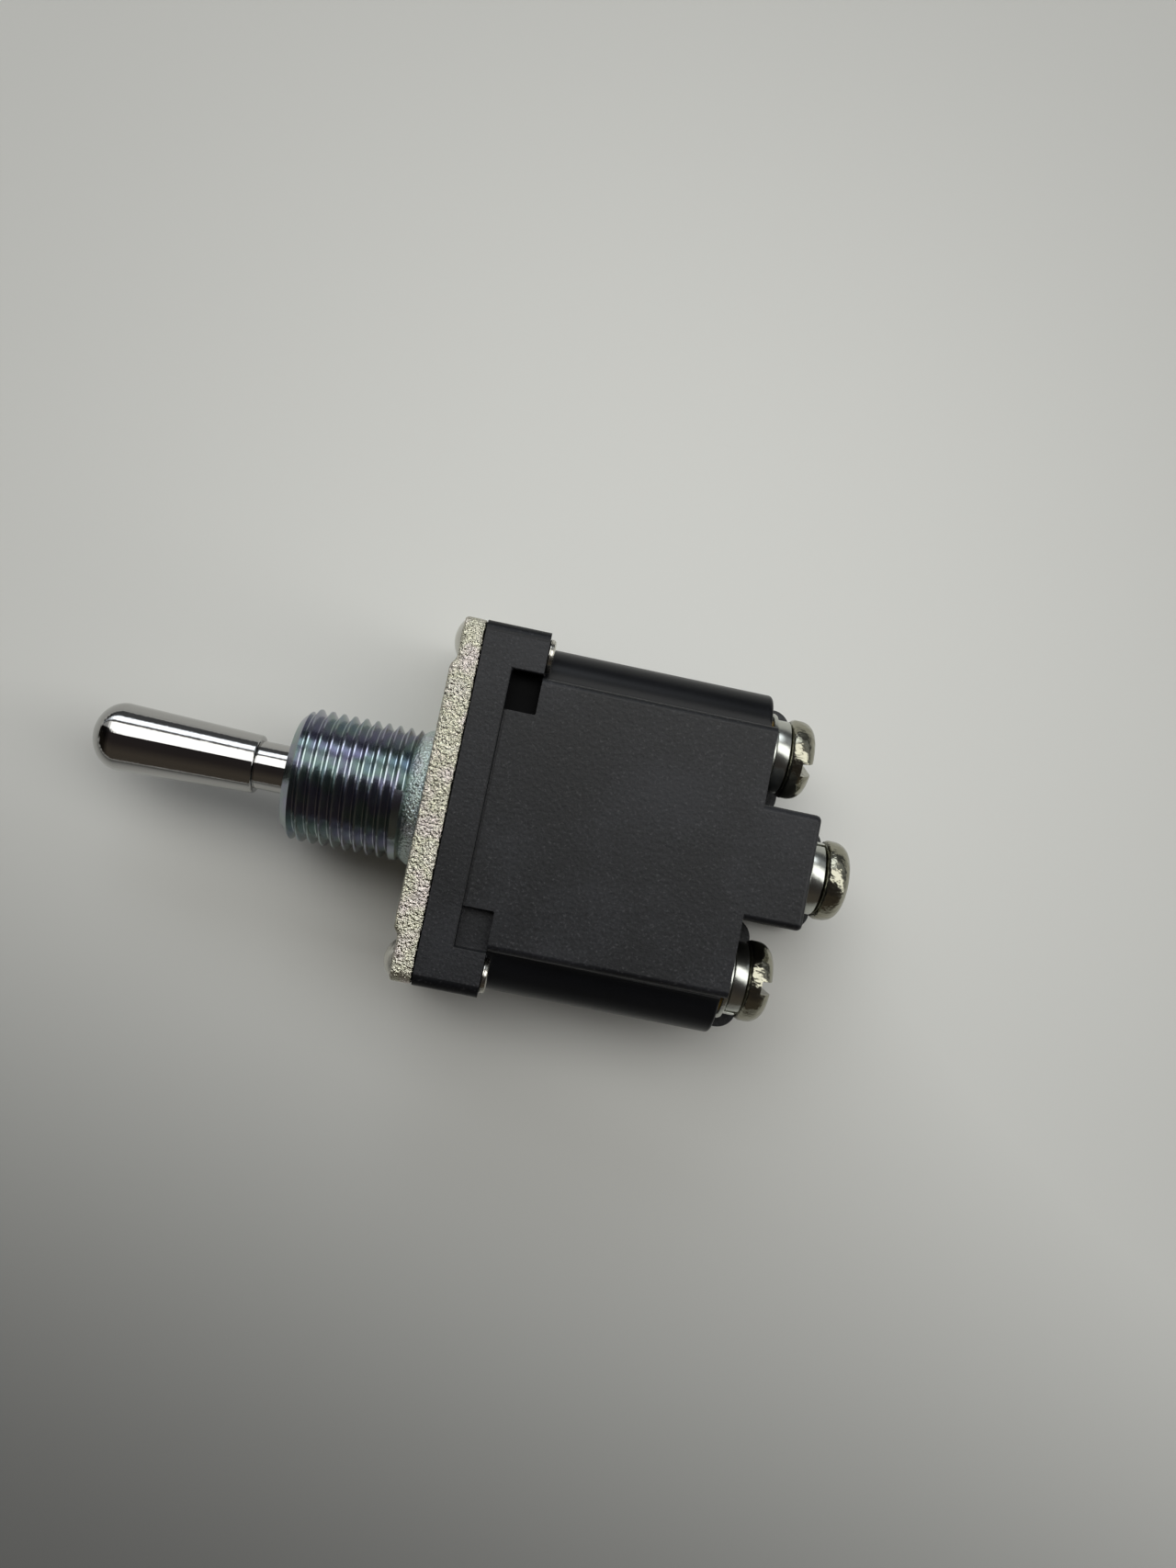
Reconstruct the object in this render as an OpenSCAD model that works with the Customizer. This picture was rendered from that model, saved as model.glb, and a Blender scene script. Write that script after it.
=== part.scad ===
// Panel toggle switch, single pole, three positions, screw terminals.
// Millimetres. The origin is on the bushing's axis at the panel seat, which is the
// front face of the cover plate. The lever points along -X, the terminals along +X,
// the lever swings along Y, and the switch lies on its broad side with +Z up.

/* [Bushing] */
// Outer diameter of the bushing's thread
thread_d = 11.8; // [11.2:0.1:13]
// Length of the bushing from its rim to the panel seat
bushing_l = 11.9; // [10.5:0.1:14]
// Chamfer at the rim
rim_chamfer = 0.9; // [0.3:0.1:1]
// Diameter of the plain collar at the foot of the thread
collar_d = 12.2; // [12:0.1:13.6]
// Length of that collar
collar_l = 1.4; // [0.8:0.1:2]
// Width of the keyway along the underside of the thread
keyway_w = 1.8; // [1:0.1:2.4]
// Depth of the keyway
keyway_depth = 0.7; // [0.3:0.1:0.8]

/* [Cover plate] */
// Width of the plate and of the case's flange
plate_w = 16.1; // [15.6:0.1:18]
// Thickness of the plate
plate_t = 2.4; // [2:0.1:3.2]
// Radius of the plate's corners
plate_corner_r = 1.1; // [0.4:0.1:2]
// Length of the step that the rivet heads sit in, at each end
rivet_step_l = 3.9; // [3.6:0.1:4.4]
// Depth of that step
rivet_step_depth = 0.45; // [0.2:0.05:0.8]

/* [Rivets] */
// Diameter of a rivet's head
rivet_head_d = 3.3; // [2.6:0.1:3.4]
// Height of a rivet's head
rivet_head_h = 0.85; // [0.4:0.05:1.2]
// Diameter of a rivet's shank
rivet_shank_d = 2; // [1.4:0.1:2.2]
// Diameter of a rivet's rolled end
rivet_tail_d = 3; // [2.6:0.1:3.2]
// Height of the rolled end
rivet_tail_h = 0.55; // [0.3:0.05:0.9]
// From a rivet's axis to the plate's edges
rivet_inset = 1.8; // [1.7:0.05:2]

/* [Lever] */
// Length of the lever above the bushing's rim
lever_l = 17.65; // [14:0.1:22]
// Length of the thick handle part
handle_l = 14.5; // [10:0.1:14.6]
// Diameter of the handle near its tip
tip_d = 6; // [5.4:0.1:7]
// Diameter of the handle at its shoulder
shoulder_d = 5.2; // [4.9:0.1:5.4]
// Diameter of the neck
neck_d = 4.3; // [3.9:0.1:4.6]
// Diameter of the stem inside the seal
stem_d = 3.8; // [3.2:0.1:3.9]
// Diameter of the pivot ball
ball_d = 6.8; // [6.4:0.1:6.9]
// Depth of the pivot below the rim
pivot_depth = 6.2; // [5.6:0.1:6.4]
// Diameter of the arm below the ball
arm_d = 3.4; // [2.8:0.1:3.4]
// Swing of the lever to each side
throw_deg = 15; // [8:1:15]

/* [Pivot and seal] */
// Diameter of the pivot pin
pin_d = 1.6; // [1.2:0.1:1.8]
// Outer diameter of the sleeve that holds the pin
sleeve_d = 8.4; // [8.3:0.1:8.6]
// Thickness of the seal ring's cord
seal_t = 1; // [0.8:0.05:1.05]
// Radial clearance of what turns or slides
run_gap = 0.05; // [0.02:0.01:0.08]
// Clearance of what only passes by
free_gap = 0.2; // [0.15:0.01:0.25]

/* [Plunger] */
// Diameter of the plunger
plunger_d = 3.3; // [3:0.1:3.3]
// Outer diameter of the cup that guides it
cup_d = 5.4; // [5:0.1:5.6]
// Length of the cup
cup_l = 6.3; // [5.8:0.1:7]
// Free height of the plunger's spring as fitted
spring_l = 2.7; // [2.2:0.1:3.2]
// Wire of the spring
spring_wire = 0.4; // [0.3:0.05:0.5]
// Turns of the spring
spring_turns = 4; // [3:1:5]
// From the cup's mouth to the nose's centre
nose_reach = 0.35; // [0.2:0.05:0.8]

/* [Contacts] */
// From the nose's centre to the rocker's pivot
rocker_drop = 4.1; // [3.9:0.1:4.6]
// Turn of the rocker for each degree of the lever
rocker_ratio = 0.5; // [0.4:0.05:0.55]
// Half the length of the moving contact
contact_reach = 8.4; // [8:0.1:9]
// Diameter of a contact tip
contact_tip_d = 2; // [1.6:0.1:2.4]
// Height of a contact tip
contact_tip_h = 0.6; // [0.4:0.05:0.8]
// Thickness of the contact strips
strip_t = 0.8; // [0.6:0.05:1]
// Clearance of the moving contact in the chamber, along the swing
chamber_gap = 1.2; // [1:0.1:1.6]
// Width of the fixed contacts' tabs
tab_w = 4.4; // [3:0.1:5]
// Length of the bracket's ears past the rocker's pin
ear_margin = 1.2; // [1:0.1:1.6]
// Width of the moving parts between the bracket's ears
rocker_w = 5.2; // [4.6:0.1:5.4]
// Diameter of the rocker's pin
rocker_pin_d = 1.2; // [1:0.1:1.4]

/* [Case] */
// From the plate's back to the case's step line
flange_t = 2.8; // [2:0.1:3]
// From the plate's back to the back of the ears
ear_t = 5.45; // [4.4:0.05:6]
// Wall from the contact chamber to the end of the flange, where the rivets go
end_wall = 5.9; // [5.6:0.1:7]
// Thickness of the case's main slab
slab_w = 15.5; // [14.6:0.1:15.6]
// How far the rounded ends stand back from the flange
rib_step = 0.3; // [0.25:0.05:0.8]
// How far the slab stands back from the flange
slab_step = 3.9; // [3.6:0.1:4.2]
// Thickness of the rounded ends
rib_w = 9.4; // [8:0.1:9.4]
// Radius of their corners
rib_r = 3.4; // [2:0.1:3.6]
// From the panel seat to the outer terminals' seats
depth = 28.2; // [27:0.1:32]
// Height of the middle terminal's block above those seats
block_h = 5.1; // [3:0.05:7]
// Width of that block
block_l = 9.9; // [8.8:0.1:10]
// Wall around the contact chamber, in thickness
wall = 2.7; // [2.2:0.1:3]
// Length of a window pocket, along the swing
pocket_l = 3.4; // [2.4:0.1:3.6]
// Depth of a window pocket
pocket_depth = 1.75; // [0.8:0.05:1.8]
// Height of the barriers behind the terminals
barrier_h = 3.6; // [2:0.1:4.4]
// Thickness of the barriers
barrier_t = 2.6; // [1.6:0.1:2.8]

/* [Terminals] */
// Distance between terminals
terminal_pitch = 10.15; // [10:0.05:10.4]
// Diameter of a terminal's threaded barrel
barrel_d = 6.2; // [5.6:0.1:6.4]
// How far the barrel stands out of its seat
barrel_proud = 0.5; // [0.2:0.05:0.8]
// Diameter of a screw's thread
screw_d = 3.5; // [3:0.1:4]
// Length of a screw's thread
screw_l = 7; // [5:0.5:7.5]
// Diameter of a screw's head
screw_head_d = 7.2; // [6.6:0.1:7.4]
// Height of a screw's head
screw_head_h = 2.6; // [1.8:0.1:2.8]
// Width of the screwdriver slot
slot_w = 1.1; // [0.8:0.1:1.4]
// Depth of the screwdriver slot
slot_depth = 1.1; // [0.6:0.1:1.4]
// Diameter of a flat washer
washer_d = 7.5; // [7:0.1:8]
// Thickness of a flat washer
washer_t = 0.5; // [0.4:0.05:0.8]
// Diameter of a lock washer
lock_d = 6.5; // [6:0.1:6.8]
// Thickness of a lock washer
lock_t = 1.1; // [0.8:0.05:1.2]

/* [Hidden] */
$fn = 96;
steps = 10;          // points of each drawn quarter of a curve
past = 1;            // how far a cut runs past the face it opens

// Bushing, heights measured forwards of the panel seat
pivot_h = bushing_l - pivot_depth;
thread_r = thread_d / 2;
collar_r = collar_d / 2;
foot_r = 0.4;                                   // fillet where the collar meets the plate
pin_r = pin_d / 2;
ball_r = ball_d / 2;
sleeve_r = sleeve_d / 2;
socket_r = ball_r + 2 * run_gap;
shoulder_a = pin_r + 0.1;                       // distances called a run forwards of the pivot
seal_r = seal_t / 2;
seal_a = shoulder_a + 0.45 + seal_r + run_gap;
seal_ring_r = sqrt(pow(ball_r + seal_r + run_gap, 2) - pow(seal_a, 2));
groove_r = seal_ring_r + seal_r;
function mouth_r(a) = neck_d / 2 / cos(throw_deg) + a * tan(throw_deg) + free_gap;

// Lever
handle_h = bushing_l + lever_l - handle_l;      // height of the handle's shoulder
tip_h = bushing_l + lever_l;
tip_round = tip_d * 0.42;                       // height of the rounded tip
shoulder_round = 0.25;
sleeve_short = 0.5;                             // how far the sleeve stops before the seat
neck_clear = 1;                                 // from the seal to the start of the neck
neck_a = seal_a + seal_r + neck_clear;
tooth = 1.5;                                    // how far the arm goes into the cup
cup_x = plate_t + cup_d / 2 * sin(throw_deg) + 0.85;
arm_x = cup_x + tooth;

// Plunger and cam
plunger_r = plunger_d / 2;
cup_bore_r = plunger_r + run_gap;
spring_x = arm_x;
plunger_x = spring_x + spring_l;
nose_x = cup_x + cup_l + nose_reach;
nose_r = plunger_r;
nose_R = nose_x + pivot_h;                      // radius that the nose swings on
rocker_x = nose_x + rocker_drop;
cam_gap = 0.12;
cam_over = 3;                                   // degrees that the cam's curve runs past the throw

// The nose's path as the rocker sees it, then the cam's face, one nose radius outside it
function nose_x_at(t) = -rocker_drop - nose_R * (1 - cos(t));
function nose_y_at(t) = nose_R * sin(t);
function turned(x, y, t) = [x * cos(t) - y * sin(t), x * sin(t) + y * cos(t)];
function seen(t) = turned(nose_x_at(t), nose_y_at(t), rocker_ratio * t);
function unit(v) = v / norm(v);
function cam_point(t) = let (d = unit(seen(t + 0.05) - seen(t - 0.05)))
    seen(t) + (nose_r + cam_gap) * [d[1], -d[0]];

// Moving contact, distances behind the rocker's pivot
strip_back = 0.6;
strip_front = strip_back - strip_t;
knuckle_wall = 0.6;
barrel_knuckle_r = rocker_pin_d / 2 + run_gap + knuckle_wall;
tip_y = contact_reach - contact_tip_d / 2 - 0.1;
rocker_deg = rocker_ratio * throw_deg;
moving_face = strip_back + contact_tip_h;
fixed_face = moving_face * cos(rocker_deg) + (tip_y + contact_tip_d / 2) * sin(rocker_deg) + free_gap;
floor_x = rocker_x + fixed_face + contact_tip_h + strip_t;

// Case
half_w = plate_w / 2;
rivet_z = half_w - rivet_inset - 0.35;
ear_x = plate_t + ear_t;
step_x = plate_t + flange_t;
block_x = depth + block_h;
chamber_l = 2 * (contact_reach + chamber_gap);
plate_l = chamber_l + 2 * end_wall;             // length of the plate, flange and ears
rib_l = plate_l - 2 * rib_step;
slab_l = plate_l - 2 * slab_step;
chamber_w = slab_w - 2 * wall;
corner_r = 1;
rivet_y = plate_l / 2 - rivet_inset;
seam_w = 1.2;                                   // width of the gasket
seam_t = 0.6;
seam_l = chamber_l + 0.4;
bracket_y = 2.2;
ear_gap = rocker_w / 2 + 0.3;
bracket_t = 0.8;
pocket_past = 0.1;                              // how far a pocket runs past the slab's side
pocket_out = slab_l / 2 + pocket_past;          // outer edge of a pocket
pocket_y = pocket_out - pocket_l;               // inner edge of a pocket
barrier_r = 1.8;
barrier_z = slab_w / 2 - barrier_t;             // inner face of the barriers, below the axis
shelf_l = 5;
shelf_w = 6;
shelf_inset = 0.5;
slot_turn = [20, 90, 4];                        // how each screw happened to stop

module to_axis() { rotate([0, -90, 0]) children(); }                 // local +Z becomes -X
module revolve(points) { to_axis() rotate_extrude() polygon(points); }
module rod(r, x0, x1) { translate([x0, 0, 0]) rotate([0, 90, 0]) cylinder(r = r, h = x1 - x0); }
module cross_rod(r, w) { translate([0, 0, -w / 2]) cylinder(r = r, h = w); }
module block(x0, x1, l, w) { translate([x0, -l / 2, -w / 2]) cube([x1 - x0, l, w]); }
module rounded(l, w, r) {
    square([l - 2 * r, w], center = true);
    square([l, w - 2 * r], center = true);
    for (y = [-1, 1], z = [-1, 1]) translate([y * (l / 2 - r), z * (w / 2 - r)]) circle(r);
}
// An outline in Y and Z carried from x0 to x1
module slab(x0, x1) {
    translate([x0, 0, 0]) rotate([90, 0, 90]) linear_extrude(x1 - x0) children();
}
function arc(cx, cy, r, a0, a1) =
    [for (i = [0:steps]) let (a = a0 + (a1 - a0) * i / steps) [cx + r * cos(a), cy + r * sin(a)]];

// Bushing and cover plate, cast as one piece
module bushing_plate() color("silver") difference() {
    union() {
        slab(0, plate_t) rounded(plate_l, plate_w, plate_corner_r);
        revolve(concat([[0, -past / 2], [collar_r + foot_r, -past / 2]],
            arc(collar_r + foot_r, foot_r, foot_r, 270, 180),
            [[collar_r, collar_l], [thread_r, collar_l], [thread_r, bushing_l - rim_chamfer],
            [thread_r - rim_chamfer, bushing_l], [0, bushing_l]]));
    }
    for (side = [-1, 1]) scale_y(side) rivet_step();
    bushing_bore();
    translate([-bushing_l - past, -keyway_w / 2, -thread_r - past])
        cube([bushing_l - collar_l + past, keyway_w, past + keyway_depth]);
    for (i = [0:3]) at_rivet(i) rod(rivet_shank_d / 2, -past, plate_t + past);
}
module scale_y(side) { mirror([0, side < 0 ? 1 : 0, 0]) children(); }
module rivet_step() {
    inner = plate_l / 2 - rivet_step_l;
    translate([0, 0, -plate_w]) linear_extrude(2 * plate_w)
        polygon([[-past, inner - rivet_step_depth], [0, inner - rivet_step_depth],
            [rivet_step_depth, inner], [rivet_step_depth, plate_l], [-past, plate_l]]);
}
module bushing_bore() {
    seat_a = seal_a - seal_r - run_gap;
    lip_a = seal_a + seal_r + run_gap;
    a0 = asin(shoulder_a / socket_r);
    a1 = asin(seat_a / socket_r);
    translate([-pivot_h, 0, 0]) revolve(concat(
        [[0, -pivot_h - plate_t - past], [sleeve_r, -pivot_h - plate_t - past],
        [sleeve_r, shoulder_a]],
        arc(0, 0, socket_r, a0, a1),
        [[groove_r, seat_a], [groove_r, lip_a], [mouth_r(lip_a), lip_a],
        [mouth_r(pivot_depth + past), pivot_depth + past], [0, pivot_depth + past]]));
}

// Lever: handle, neck, ball and arm turned from one bar
module lever() color("gainsboro") difference() {
    union() {
        revolve(concat([[0, -arm_x], [arm_d / 2, -arm_x], [arm_d / 2, pivot_h],
            [stem_d / 2, pivot_h], [stem_d / 2, pivot_h + neck_a - 0.3],
            [neck_d / 2, pivot_h + neck_a], [neck_d / 2, handle_h]],
            arc(shoulder_d / 2 - shoulder_round, handle_h + shoulder_round, shoulder_round, 270, 360),
            [for (i = [0:2 * steps]) let (a = 90 * i / (2 * steps))
                [tip_d / 2 * cos(a), tip_h - tip_round + tip_round * sin(a)]]));
        translate([-pivot_h, 0, 0]) sphere(ball_r);
    }
    translate([-pivot_h, 0, 0]) cross_rod(pin_r + run_gap, ball_d + past);
}

module pivot_pin() color("gray") translate([-pivot_h, 0, 0])
    cross_rod(pin_r, 2 * sqrt(pow(sleeve_r - 0.02, 2) - pow(pin_r, 2)));

// Sleeve behind the ball, whose notches hold the pin's ends against the bushing's shoulder
module pivot_sleeve() color("dimgray") translate([-pivot_h, 0, 0]) difference() {
    rod(sleeve_r, -shoulder_a, pivot_h - sleeve_short);
    rod(socket_r, -shoulder_a - past, pivot_h);
    cross_rod(pin_r, 2 * sleeve_d);
    translate([-shoulder_a - past, -pin_r, -sleeve_d])
        cube([shoulder_a + past, pin_d, 2 * sleeve_d]);
}

module lever_seal() color("black") translate([-pivot_h - seal_a, 0, 0])
    to_axis() rotate_extrude() translate([seal_ring_r, 0]) circle(seal_r);

// Moulded cup pressed on the arm, which guides the plunger
module actuator_cup() color("ivory") difference() {
    rod(cup_d / 2, cup_x, cup_x + cup_l);
    rod(arm_d / 2, cup_x - past, arm_x);
    rod(cup_bore_r, arm_x, cup_x + cup_l + past);
}
module plunger() color("ivory") revolve(concat([[0, -plunger_x], [plunger_r, -plunger_x]],
    arc(0, -nose_x, nose_r, 0, -90)));

module plunger_spring() color("gray") coil(plunger_r - spring_wire / 2 - 0.1, spring_wire / 2,
    spring_x + spring_wire / 2, plunger_x - spring_wire / 2, spring_turns);
// A wire of radius w wound on radius r from x0 to x1
module coil(r, w, x0, x1, turns) {
    around = 12; sides = 6; n = around * turns;
    function spot(i, j) = let (a = 360 * i / around, b = 360 * j / sides, q = r + w * cos(b))
        [x0 + (x1 - x0) * i / n + w * sin(b), q * cos(a), q * sin(a)];
    polyhedron(points = [for (i = [0:n], j = [0:sides - 1]) spot(i, j)],
        faces = concat([[for (j = [0:sides - 1]) sides - 1 - j]],
            [for (i = [0:n - 1], j = [0:sides - 1]) let (k = (j + 1) % sides)
                [i * sides + j, i * sides + k, (i + 1) * sides + k, (i + 1) * sides + j]],
            [[for (j = [0:sides - 1]) n * sides + j]]));
}

// Cradle whose curved face the plunger's nose rides in
module rocker_cam() color("ivory") translate([rocker_x, 0, 0]) difference() {
    span = throw_deg + cam_over;
    wing = cam_point(span)[1];
    translate([0, 0, -rocker_w / 2]) linear_extrude(rocker_w) polygon(concat(
        [for (i = [-steps:steps]) cam_point(span * i / steps)],
        [[strip_front, wing], [strip_front, -wing]]));
    cross_rod(barrel_knuckle_r, 2 * rocker_w);
}
module moving_contact() color("goldenrod") translate([rocker_x, 0, 0]) difference() {
    union() {
        block(strip_front, strip_back, 2 * contact_reach, rocker_w);
        cross_rod(barrel_knuckle_r, rocker_w);
    }
    cross_rod(rocker_pin_d / 2 + run_gap, 2 * rocker_w);
}
module moving_tips() color("silver") for (side = [-1, 1]) translate([rocker_x, side * tip_y, 0])
    rod(contact_tip_d / 2, strip_back, moving_face);
module rocker_pin() color("gray") translate([rocker_x, 0, 0])
    cross_rod(rocker_pin_d / 2, 2 * (ear_gap + bracket_t + 0.2));

module barrel(x1) difference() {
    rod(barrel_d / 2, floor_x, x1 + barrel_proud);
    rod(screw_d / 2 + run_gap, x1 + barrel_proud - screw_l, x1 + barrel_proud + past);
}
// Middle terminal with the bracket that carries the rocker
module common_terminal() color("goldenrod") difference() {
    union() {
        barrel(block_x);
        block(floor_x - strip_t, floor_x, 2 * bracket_y, 2 * (ear_gap + bracket_t));
        for (side = [-1, 1]) translate([0, 0, side * (ear_gap + bracket_t / 2)])
            block(rocker_x - ear_margin, floor_x, 2 * bracket_y, bracket_t);
    }
    translate([rocker_x, 0, 0]) cross_rod(rocker_pin_d / 2, slab_w);
}
module fixed_terminal(side) {
    translate([0, side * terminal_pitch, 0]) barrel(depth);
    inner = tip_y - contact_tip_d / 2 - 0.3;
    outer = terminal_pitch + barrel_d / 2;
    translate([0, side * (inner + outer) / 2, 0])
        block(floor_x - strip_t, floor_x, outer - inner, tab_w);
}
module fixed_tip(side) color("silver") translate([rocker_x, side * tip_y, 0])
    rod(contact_tip_d / 2, fixed_face, fixed_face + contact_tip_h);
module fixed_terminal_1() color("goldenrod") fixed_terminal(1);
module fixed_terminal_3() color("goldenrod") fixed_terminal(-1);
module fixed_tip_1() fixed_tip(1);
module fixed_tip_3() fixed_tip(-1);

// Outline of the case behind its ears: a slab with a rounded rib along each narrow side
module case_outline() {
    rounded(slab_l, slab_w, 0.6);
    rounded(rib_l, rib_w, rib_r);
}
// A flat tongue from y0 to y1 that stands behind a terminal whose seat is at x1
module barrier_wall(y0, y1, x1) {
    end = x1 + barrier_h;
    translate([0, 0, -slab_w / 2]) linear_extrude(barrier_t) {
        translate([depth - shelf_l, y0]) square([end - barrier_r - depth + shelf_l, y1 - y0]);
        translate([depth, y0 + barrier_r]) square([end - depth, y1 - y0 - 2 * barrier_r]);
        for (y = [y0 + barrier_r, y1 - barrier_r]) translate([end - barrier_r, y]) circle(barrier_r);
    }
}
module case() color("dimgray") difference() {
    union() {
        slab(plate_t, step_x) rounded(plate_l, plate_w, corner_r);
        slab(plate_t, ear_x) difference() {
            rounded(plate_l, plate_w, corner_r);
            square([2 * pocket_y, 2 * plate_w], center = true);
        }
        slab(plate_t, depth) case_outline();
        slab(depth - past, block_x) rounded(block_l, slab_w, 0.6);
        barrier_wall(-block_l / 2, block_l / 2, block_x);
        for (side = [-1, 1]) scale_y(side) barrier_wall(block_l / 2, rib_l / 2, depth);
        for (side = [-1, 1]) translate([0, side * (rib_l / 2 - shelf_w / 2 - shelf_inset), -barrier_z / 2])
            block(depth - shelf_l, depth, shelf_w, barrier_z);
    }
    slab(plate_t - past, floor_x) rounded(chamber_l, chamber_w, corner_r);
    slab(plate_t - past, plate_t + seam_t) seam();
    for (y = [-1, 1], z = [-1, 1]) translate([step_x, y < 0 ? -pocket_out : pocket_y,
        z < 0 ? -half_w - past : half_w - pocket_depth])
        cube([ear_x - step_x, pocket_l, pocket_depth + past]);
    for (i = [0:3]) at_rivet(i) rod(rivet_shank_d / 2, 0, ear_x + past);
    rod(barrel_d / 2, floor_x, block_x + past);
    for (side = [-1, 1]) {
        translate([0, side * terminal_pitch, 0]) rod(barrel_d / 2, floor_x - strip_t, depth + past);
        translate([0, side * (terminal_pitch + barrel_d / 4), 0])
            block(floor_x - strip_t, floor_x, barrel_d / 2, tab_w);
    }
}
module seam() difference() {
    rounded(seam_l + 2 * seam_w, chamber_w + 0.4 + 2 * seam_w, corner_r + seam_w);
    rounded(seam_l, chamber_w + 0.4, corner_r);
}
module cover_gasket() color("black") slab(plate_t, plate_t + seam_t) seam();

// Rivets 1 and 2 are at the +Y end, 3 and 4 at the -Y end
module at_rivet(i) {
    translate([0, (i < 2 ? 1 : -1) * rivet_y, (i % 2 == 0 ? 1 : -1) * rivet_z]) children();
}
module rivet(i) color("lightgray") at_rivet(i) {
    head_r = rivet_head_d / 2;
    dome_r = (head_r * head_r + rivet_head_h * rivet_head_h) / (2 * rivet_head_h);
    edge = asin((dome_r - rivet_head_h) / dome_r);
    tail_r = rivet_tail_d / 2;
    roll = rivet_tail_h / 2;
    revolve(concat([[0, -ear_x - rivet_tail_h]],
        arc(tail_r - roll, -ear_x - roll, roll, 270, 360), [[tail_r, -ear_x],
        [rivet_shank_d / 2, -ear_x], [rivet_shank_d / 2, -rivet_step_depth]],
        arc(0, rivet_head_h - dome_r - rivet_step_depth, dome_r, edge, 90)));
}
module rivet_1() rivet(0);
module rivet_2() rivet(1);
module rivet_3() rivet(2);
module rivet_4() rivet(3);

// Terminals 1, 2 and 3 run from +Y to -Y, and 2 stands on the middle block
module at_terminal(i) {
    translate([(i == 2 ? block_x : depth) + barrel_proud, (2 - i) * terminal_pitch, 0]) children();
}
module terminal_screw(i) color("lightgray") at_terminal(i) {
    under = washer_t + lock_t;
    top = under + screw_head_h;
    round_r = screw_head_h * 0.55;
    difference() {
        revolve(concat([[0, screw_l - under], [screw_d / 2, screw_l - under],
            [screw_d / 2, -under], [screw_head_d / 2 - 0.3, -under],
            [screw_head_d / 2, -under - 0.3]],
            arc(screw_head_d / 2 - round_r, round_r - top, round_r, 0, -90), [[0, -top]]));
        rotate([slot_turn[i - 1], 0, 0])
            translate([top - slot_depth, -slot_w / 2, -screw_head_d])
                cube([slot_depth + past, slot_w, 2 * screw_head_d]);
    }
}
module lock_washer(i) color("gray") at_terminal(i) difference() {
    rod(lock_d / 2, washer_t, washer_t + lock_t);
    rod(screw_d / 2 + free_gap, 0, washer_t + lock_t + past);
    rotate([130 * i, 0, 0]) translate([0, -0.25, 0]) cube([washer_t + lock_t + past, 0.5, lock_d]);
}
module flat_washer(i) color("lightgray") at_terminal(i) difference() {
    rod(washer_d / 2, 0, washer_t);
    rod(screw_d / 2 + free_gap, -past, washer_t + past);
}
module terminal_screw_1() terminal_screw(1);
module terminal_screw_2() terminal_screw(2);
module terminal_screw_3() terminal_screw(3);
module lock_washer_1() lock_washer(1);
module lock_washer_2() lock_washer(2);
module lock_washer_3() lock_washer(3);
module flat_washer_1() flat_washer(1);
module flat_washer_2() flat_washer(2);
module flat_washer_3() flat_washer(3);

bushing_plate();
lever();
pivot_pin();
pivot_sleeve();
lever_seal();
actuator_cup();
plunger();
plunger_spring();
rocker_cam();
moving_contact();
moving_tips();
rocker_pin();
common_terminal();
fixed_terminal_1();
fixed_terminal_3();
fixed_tip_1();
fixed_tip_3();
case();
cover_gasket();
rivet_1();
rivet_2();
rivet_3();
rivet_4();
terminal_screw_1();
terminal_screw_2();
terminal_screw_3();
lock_washer_1();
lock_washer_2();
lock_washer_3();
flat_washer_1();
flat_washer_2();
flat_washer_3();
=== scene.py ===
import math

import bpy
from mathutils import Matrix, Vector


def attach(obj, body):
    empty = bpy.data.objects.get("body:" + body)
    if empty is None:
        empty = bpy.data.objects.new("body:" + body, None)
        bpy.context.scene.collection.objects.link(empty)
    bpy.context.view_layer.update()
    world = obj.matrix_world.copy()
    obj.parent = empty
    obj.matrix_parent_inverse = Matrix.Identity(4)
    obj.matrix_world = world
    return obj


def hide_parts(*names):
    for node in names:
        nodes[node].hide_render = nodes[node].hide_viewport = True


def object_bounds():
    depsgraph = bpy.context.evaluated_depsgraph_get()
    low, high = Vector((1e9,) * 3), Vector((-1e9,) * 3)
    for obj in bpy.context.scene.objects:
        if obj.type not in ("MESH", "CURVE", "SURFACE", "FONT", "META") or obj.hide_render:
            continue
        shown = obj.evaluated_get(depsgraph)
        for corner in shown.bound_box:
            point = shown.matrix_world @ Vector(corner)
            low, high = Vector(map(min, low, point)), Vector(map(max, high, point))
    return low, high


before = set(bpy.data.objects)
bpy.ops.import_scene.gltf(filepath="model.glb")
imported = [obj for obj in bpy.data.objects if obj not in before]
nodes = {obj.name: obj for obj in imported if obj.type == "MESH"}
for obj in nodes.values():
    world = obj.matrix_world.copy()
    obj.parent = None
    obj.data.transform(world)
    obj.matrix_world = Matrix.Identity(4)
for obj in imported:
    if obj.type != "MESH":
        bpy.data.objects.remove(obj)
low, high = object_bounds()
mm = 0.001
print("frame loaded:", len(nodes), "nodes")


def setMode(mode):
    bpy.ops.object.mode_set(mode=mode)


def clearPick():
    if bpy.context.object and bpy.context.object.mode != "OBJECT":
        setMode("OBJECT")
    bpy.ops.object.select_all(action="DESELECT")


def pickOnly(obj):
    clearPick()
    obj.select_set(True)
    bpy.context.view_layer.objects.active = obj


def editPiece(obj, kind="VERT", action="SELECT"):  # opens a piece for editing, all or none of it picked
    pickOnly(obj)
    setMode("EDIT")
    bpy.ops.mesh.select_mode(type=kind)
    bpy.ops.mesh.select_all(action=action)


def applyModifier(obj, kind, settings):
    pickOnly(obj)
    mod = obj.modifiers.new(kind.title(), kind)
    for key, value in settings.items():
        setattr(mod, key, value)
    bpy.ops.object.modifier_apply(modifier=mod.name)


def cutAway(obj, tool):  # cuts with a tool piece, then throws the tool away
    applyModifier(obj, "BOOLEAN", {"object": tool, "operation": "DIFFERENCE", "solver": "EXACT"})
    bpy.data.objects.remove(tool)


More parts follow.
